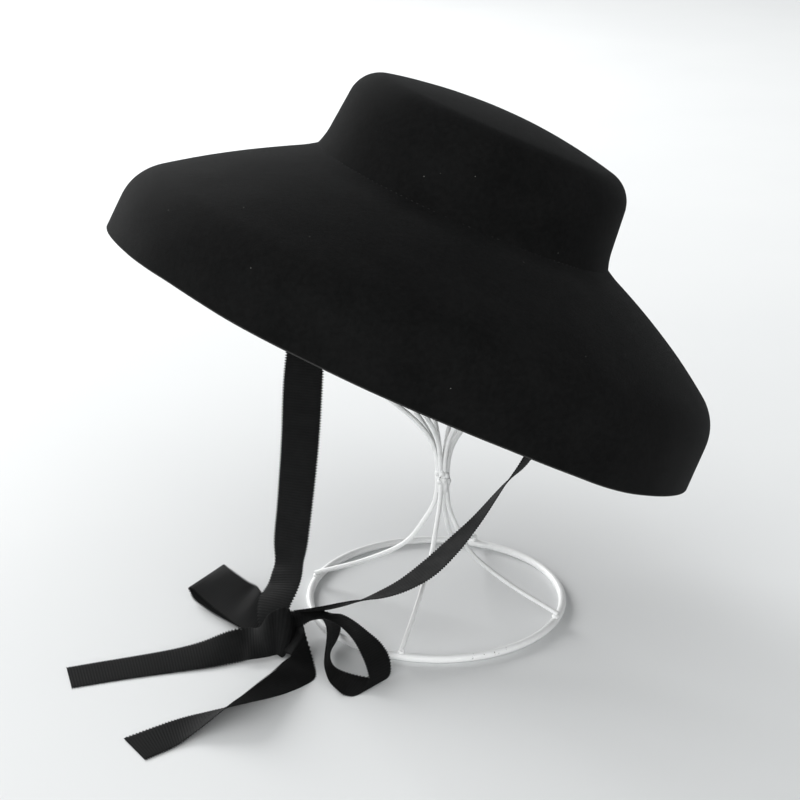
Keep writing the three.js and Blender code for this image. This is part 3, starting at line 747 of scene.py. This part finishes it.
def make_ribbon(name, rows, nodes, seed, toothed=1):
    """A strip of grosgrain: ribs across it, small loops of thread along its edges, pressed onto the table.

    Toothed is the share of its length that shows those small loops.
    """
    curve, along = even_curve(rows, RIB_PITCH / RIB_STEPS)
    middle, half, swell = curve[:, :3], curve[:, 3:6], curve[:, 6:7]
    run = unit(np.gradient(middle, axis=0))
    face = unit(np.cross(run, half))
    reach = np.linalg.norm(half, axis=1, keepdims=True)
    sideways = half / reach
    rib = 0.5 + 0.5 * np.cos(2 * math.pi * along / RIB_PITCH)
    wave = np.array([RIBBON_WAVE * soft((place, 0, 0), WAVE_LENGTH, seed) for place in along])[:, None]
    shown = np.clip((toothed * along[-1] - along) / RIB_PITCH, 0, 1)
    layers = []
    shares = []
    for sign in (1, -1):
        for share, thick in RIBBON_COLUMNS[::sign]:
            tooth = PICOT * shown * (rib - 0.5) * np.sign(share) * (abs(share) > TOOTHED_FROM)
            local = unit(face * reach + 2 * swell * share * sideways)
            wall = sign * thick * (RIBBON_WALL / 2 + RIB_HEIGHT * (rib - 0.5))
            layers.append(middle + half * share + sideways * tooth[:, None]
                          + face * (swell * (1 - share**2) + wave * share) + local * wall[:, None])
            shares.append(share)
    section = np.stack(layers, 1)
    section[:, :, 2] = np.maximum(section[:, :, 2], RIBBON_FLOOR)
    count, columns = section.shape[:2]
    faces = tube_faces(count, columns)
    across = np.tile(np.array(shares) * RIBBON_WIDTH / 2, count)
    values = {"along": np.repeat(along, columns), "across": across}
    piece = make_piece(name, section.reshape(-1, 3), faces, RIBBON_BLACK, values)
    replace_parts(piece, *nodes)
    return piece


def make_knot():
    """The heart of the knot: ribbon drawn tight into pleats."""
    rings, segments = 40, 96
    points = []
    along = []
    across = []
    bearing = math.radians(KNOT["bearing"])
    ahead = np.array([math.cos(bearing), math.sin(bearing), 0])
    side = np.array([-math.sin(bearing), math.cos(bearing), 0])
    for i in range(rings):
        polar = math.pi * (i + 0.5) / rings
        for j in range(segments):
            turn = 2 * math.pi * j / segments
            pleats = [depth * math.cos(count * turn + slant * polar) for depth, count, slant in PLEATS]
            pleat = 1 + sum(pleats)
            ring = math.sin(polar) * pleat
            point = (ahead * KNOT["along"] * math.cos(polar) + side * KNOT["across"] * ring * math.cos(turn)
                     + np.array([0, 0, KNOT["high"] * ring * math.sin(turn)]))
            point += (KNOT["x"], KNOT["y"], KNOT["z"])
            point[2] = max(point[2], KNOT["floor"])
            points.append(point)
            along.append(turn * KNOT["weave_round"])
            across.append(polar * KNOT["weave_along"])
    faces = tube_faces(rings, segments)
    values = {"along": along, "across": across}
    piece = make_piece("ribbon_knot", points, faces, RIBBON_BLACK, values)
    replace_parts(piece, "bow_knot")
    return piece


# Stand

def wear_spots():
    """Place, reach and depth of each chip in the paint."""
    spots = [((x, y, z), reach, gone) for x, y, z, reach, gone in WAIST_CHIPS]
    for turn, share, height, reach, gone in RING_CHIPS:
        bearing = math.radians(turn)
        radius = share * RING_RADIUS
        spots.append(((radius * math.cos(bearing), radius * math.sin(bearing), height), reach, gone))
    return spots


WEAR_SPOTS = wear_spots()


def wear_at(points):
    """How worn the paint is at each point, from 0 to 1."""
    worn = np.zeros(len(points))
    for place, reach, most in WEAR_SPOTS:
        distance = np.linalg.norm(np.asarray(points) - np.array(place), axis=1)
        worn = np.maximum(worn, most * np.clip(CHIP_FADE * (1 - distance / reach), 0, 1))
    return worn


def tube(path, radius):
    """Points and faces of round wire along a path."""
    run = unit(np.gradient(path, axis=0))
    side = unit(np.cross(run[0], (0.3, 0.2, 1.0)))
    points = []
    for i, centre in enumerate(path):
        side = unit(side - run[i] * np.dot(side, run[i]))
        other = np.cross(run[i], side)
        thick = radius * (1 + WIRE_UNEVEN * soft(centre, 6, 3.3))
        for turn in np.linspace(0, 2 * math.pi, WIRE_SIDES, endpoint=False):
            points.append(centre + thick * (math.cos(turn) * side + math.sin(turn) * other))
    return points, tube_faces(len(path), WIRE_SIDES)


def lump(centre, size, seed):
    """Points and faces of a small uneven bead of weld."""
    rings, segments = 9, 14
    points = []
    for i in range(rings):
        polar = math.pi * (i + 0.5) / rings
        for j in range(segments):
            turn = 2 * math.pi * j / segments
            flat = math.sin(polar)
            out = np.array([flat * math.cos(turn), flat * math.sin(turn), math.cos(polar)])
            uneven_by = 1 + BEAD_UNEVEN * soft(out * 3, 1.6, seed)
            points.append(np.array(centre) + out * np.array(size) * uneven_by)
    return points, tube_faces(rings, segments)


def joined(parts):
    """Several sets of points and faces as one."""
    points = []
    faces = []
    for more_points, more_faces in parts:
        faces += [tuple(len(points) + k for k in face) for face in more_faces]
        points += [list(point) for point in more_points]
    return points, faces


def paint_piece(name, parts, node):
    points, faces = joined(parts)
    piece = make_piece(name, points, faces, PAINT_WHITE, {"wear": wear_at(points)})
    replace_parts(piece, node)
    return piece


def wire_path(rows, turn, spacing):
    """The middle of a wire from rows of radius and height, which leans with the stand."""
    bearing = math.radians(turn)
    places = []
    for radius, height in rows:
        lean = STAND_LEAN * min(height / WAIST_LOW, 1)
        places.append((lean + radius * math.cos(bearing), radius * math.sin(bearing), height))
    return even_curve(places, spacing)[0]


def make_ring():
    """The thick wire ring that the stand rests on."""
    points = []
    for place in np.linspace(0, 2 * math.pi, RING_SEGMENTS, endpoint=False):
        x, y = RING_RADIUS * math.cos(place), RING_RADIUS * math.sin(place)
        outward = np.array([x, y, 0]) / RING_RADIUS
        thick = RING_WIRE / 2 * (1 + RING_UNEVEN * soft((x, y, 0), 9, 5))
        for turn in np.linspace(0, 2 * math.pi, RING_SIDES, endpoint=False):
            out = math.cos(turn) * outward + np.array([0, 0, math.sin(turn)])
            points.append(np.array([x, y, RING_WIRE / 2]) + thick * out)
    faces = grid_faces(RING_SEGMENTS, RING_SIDES, wrap_rows=True, wrap_columns=True)
    paint_piece("stand_ring", [(points, faces)], "base_ring")


def make_legs():
    """Four curved wires from the waist to the ring, each with a weld bead at its foot."""
    for i, turn in enumerate(LEG_TURNS):
        bearing = math.radians(turn)
        foot = (RING_RADIUS * math.cos(bearing), RING_RADIUS * math.sin(bearing), FOOT_BEAD_HEIGHT)
        bead = lump(foot, FOOT_BEAD_SIZE, i + 0.5)
        leg = tube(wire_path(LEG_ROWS, turn, LEG_STEP), WIRE / 2)
        paint_piece(f"stand_leg_{i + 1}", [leg, bead], f"leg_{i + 1}")


def make_cage():
    """The wires that flare from the waist and close in a dome under the crown."""
    last = math.acos((CAGE_TOP_RADIUS - 1) / CAGE_RADIUS)
    dome = [(CAGE_RADIUS * math.cos(angle), CAGE_MIDDLE + CAGE_RADIUS * math.sin(angle))
            for angle in np.linspace(0, last, CAGE_DOME_ROWS)]
    for i in range(CAGE_WIRES):
        turn = CAGE_FIRST_TURN + 360 * i / CAGE_WIRES
        path = wire_path((*CAGE_FLARE, *dome), turn, CAGE_STEP)
        paint_piece(f"stand_cage_{i + 1}", [tube(path, WIRE / 2)], f"cage_wire_{i + 1}")


def make_waist():
    """The wires fused into one bundle: a ridge for each wire, with paint and weld run in between."""
    heights = np.linspace(WAIST_BOTTOM, WAIST_TOP, 34)
    segments = 48
    points = []
    for height in heights:
        share = (height - heights[0]) / (heights[-1] - heights[0])
        body = WAIST_RADIUS - WAIST_TAPER * (2 * share - 1) ** 4 + WAIST_SWAY * math.sin(5 * share)
        for j in range(segments):
            turn = 2 * math.pi * j / segments
            ridge = WAIST_RIDGE * math.cos(WAIST_RIDGES * turn + 0.8 * share)
            out = np.array([math.cos(turn), math.sin(turn), 0])
            uneven_by = WAIST_UNEVEN * soft(out * 5 + np.array([0, 0, height]), 3.2, 9)
            points.append(np.array([STAND_LEAN, 0, height]) + out * (body + ridge + uneven_by))
    faces = tube_faces(len(heights), segments)
    beads = []
    for i, (turn, height) in enumerate(WELD_BEADS):
        bearing = math.radians(turn)
        place = (STAND_LEAN + BEAD_RADIUS * math.cos(bearing), BEAD_RADIUS * math.sin(bearing), height)
        beads.append(lump(place, BEAD_SIZE, 2.2 + 1.3 * i))
    paint_piece("stand_waist", [(points, faces), *beads], "waist_weld")


def make_cage_top():
    """The small disc under the crown that the cage's wires are welded to."""
    height = CAGE_MIDDLE + math.sqrt(CAGE_RADIUS**2 - CAGE_TOP_RADIUS**2)
    segments = 40
    points = []
    for radius, rise in DISC_OUTLINE:
        for j in range(segments):
            turn = 2 * math.pi * j / segments
            points.append((STAND_LEAN + radius * math.cos(turn), radius * math.sin(turn), height + rise))
    faces = tube_faces(len(DISC_OUTLINE), segments)
    paint_piece("stand_cage_top", [(points, faces)], "cage_top")


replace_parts(make_crown(), "crown")
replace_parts(make_brim(), "brim")
make_stitches()
tie_left = width_rows([sewn_row(math.pi, SEWN_HIGH), sewn_row(math.pi, SEWN_LOW), *TIE_LEFT_ROWS])
tie_left = np.vstack([tie_left, edge_rows(TIE_FOOT_ROWS)])
tie_right = [sewn_row(0, SEWN_HIGH), sewn_row(0, SEWN_LOW), *TIE_RIGHT_ROWS]
make_ribbon("ribbon_tie_left", tie_left, ["tie_left"], 1)
make_ribbon("ribbon_tie_right", width_rows(tie_right), ["tie_right"], 2)
make_ribbon("ribbon_loop_left", edge_rows(LOOP_LEFT_ROWS), ["bow_loop_left"], 3)
make_ribbon("ribbon_loop_right", edge_rows(LOOP_RIGHT_ROWS), ["bow_loop_right"], 4)
tail_and_wrap = np.vstack([width_rows(TAIL_UPPER_ROWS), edge_rows(WRAP_ROWS)])
make_ribbon("ribbon_tail_upper", tail_and_wrap, ["tail_upper"], 5, TAIL_SHARE)
make_ribbon("ribbon_tail_lower", edge_rows(TAIL_LOWER_ROWS), ["tail_lower"], 6)
make_knot()
make_ring()
make_legs()
make_cage()
make_waist()
make_cage_top()

# Table, light and camera

TABLE_SIZE = 16
TENT_TOWARDS = (-0.7, -0.6, 0.35)
TENT_DARK = (0.34, 0.345, 0.347, 1)
TENT_BRIGHT = (1.66, 1.68, 1.68, 1)
TENT_AT_TABLE = 1.5
TENT_AT_TOP = 0.62
bpy.ops.mesh.primitive_plane_add(size=TABLE_SIZE)
table = bpy.context.object
table.name = "table"
table.data.materials.append(floor_material())

scene = bpy.context.scene
scene.view_settings.view_transform = "Standard"
world = bpy.data.worlds.new("studio")
scene.world = world
world.use_nodes = True
tree = world.node_tree
sky = tree.nodes["Background"]
# A light tent: bright walls to the left and in front, darker ones to the right and behind.
# All of them are brightest low down.
around = add_node(tree, "ShaderNodeTexCoord", {}).outputs["Generated"]
towards = add_node(tree, "ShaderNodeVectorMath", {0: around, 1: TENT_TOWARDS}, operation="DOT_PRODUCT")
wall = spread(tree, towards.outputs["Value"], -0.35, 0.95)
tree.links.new(blend(tree, wall, TENT_DARK, TENT_BRIGHT), sky.inputs["Color"])
height = add_node(tree, "ShaderNodeSeparateXYZ", {"Vector": around}).outputs["Z"]
tree.links.new(spread(tree, height, 0, 1, TENT_AT_TABLE, TENT_AT_TOP), sky.inputs["Strength"])


def area_light(name, place, target, size, power):
    """A round soft light, placed and sized in metres, that shines at its target."""
    light = bpy.data.lights.new(name, "AREA")
    light.shape = "DISK"
    light.size = size
    light.energy = power
    lamp = bpy.data.objects.new(name, light)
    lamp.location = place
    lamp.rotation_euler = (Vector(target) - Vector(place)).to_track_quat("-Z", "Y").to_euler()
    bpy.context.collection.objects.link(lamp)


area_light("window_left", (-1.8, 2.4, 1.3), (0.0, 0.2, 0.05), 1.6, 80)

# The camera: its focal length is in pixels of the picture, and its pitch in radians.
PHOTO_SIZE = 800
FOCAL = 1632.2
SENSOR = 36
VIEW_LIMIT = 60
CAMERA_PLACE = (-23.488, -950, 506.25)
CAMERA_PITCH = 0.36862
camera_data = bpy.data.cameras.new("camera")
camera_data.sensor_width = SENSOR
camera_data.lens = SENSOR * FOCAL / PHOTO_SIZE
camera_data.clip_end = VIEW_LIMIT
camera = bpy.data.objects.new("camera", camera_data)
camera.location = np.array(CAMERA_PLACE) * MM + STAND
camera.rotation_euler = (math.pi / 2 - CAMERA_PITCH, 0, 0)
bpy.context.collection.objects.link(camera)
scene.camera = camera
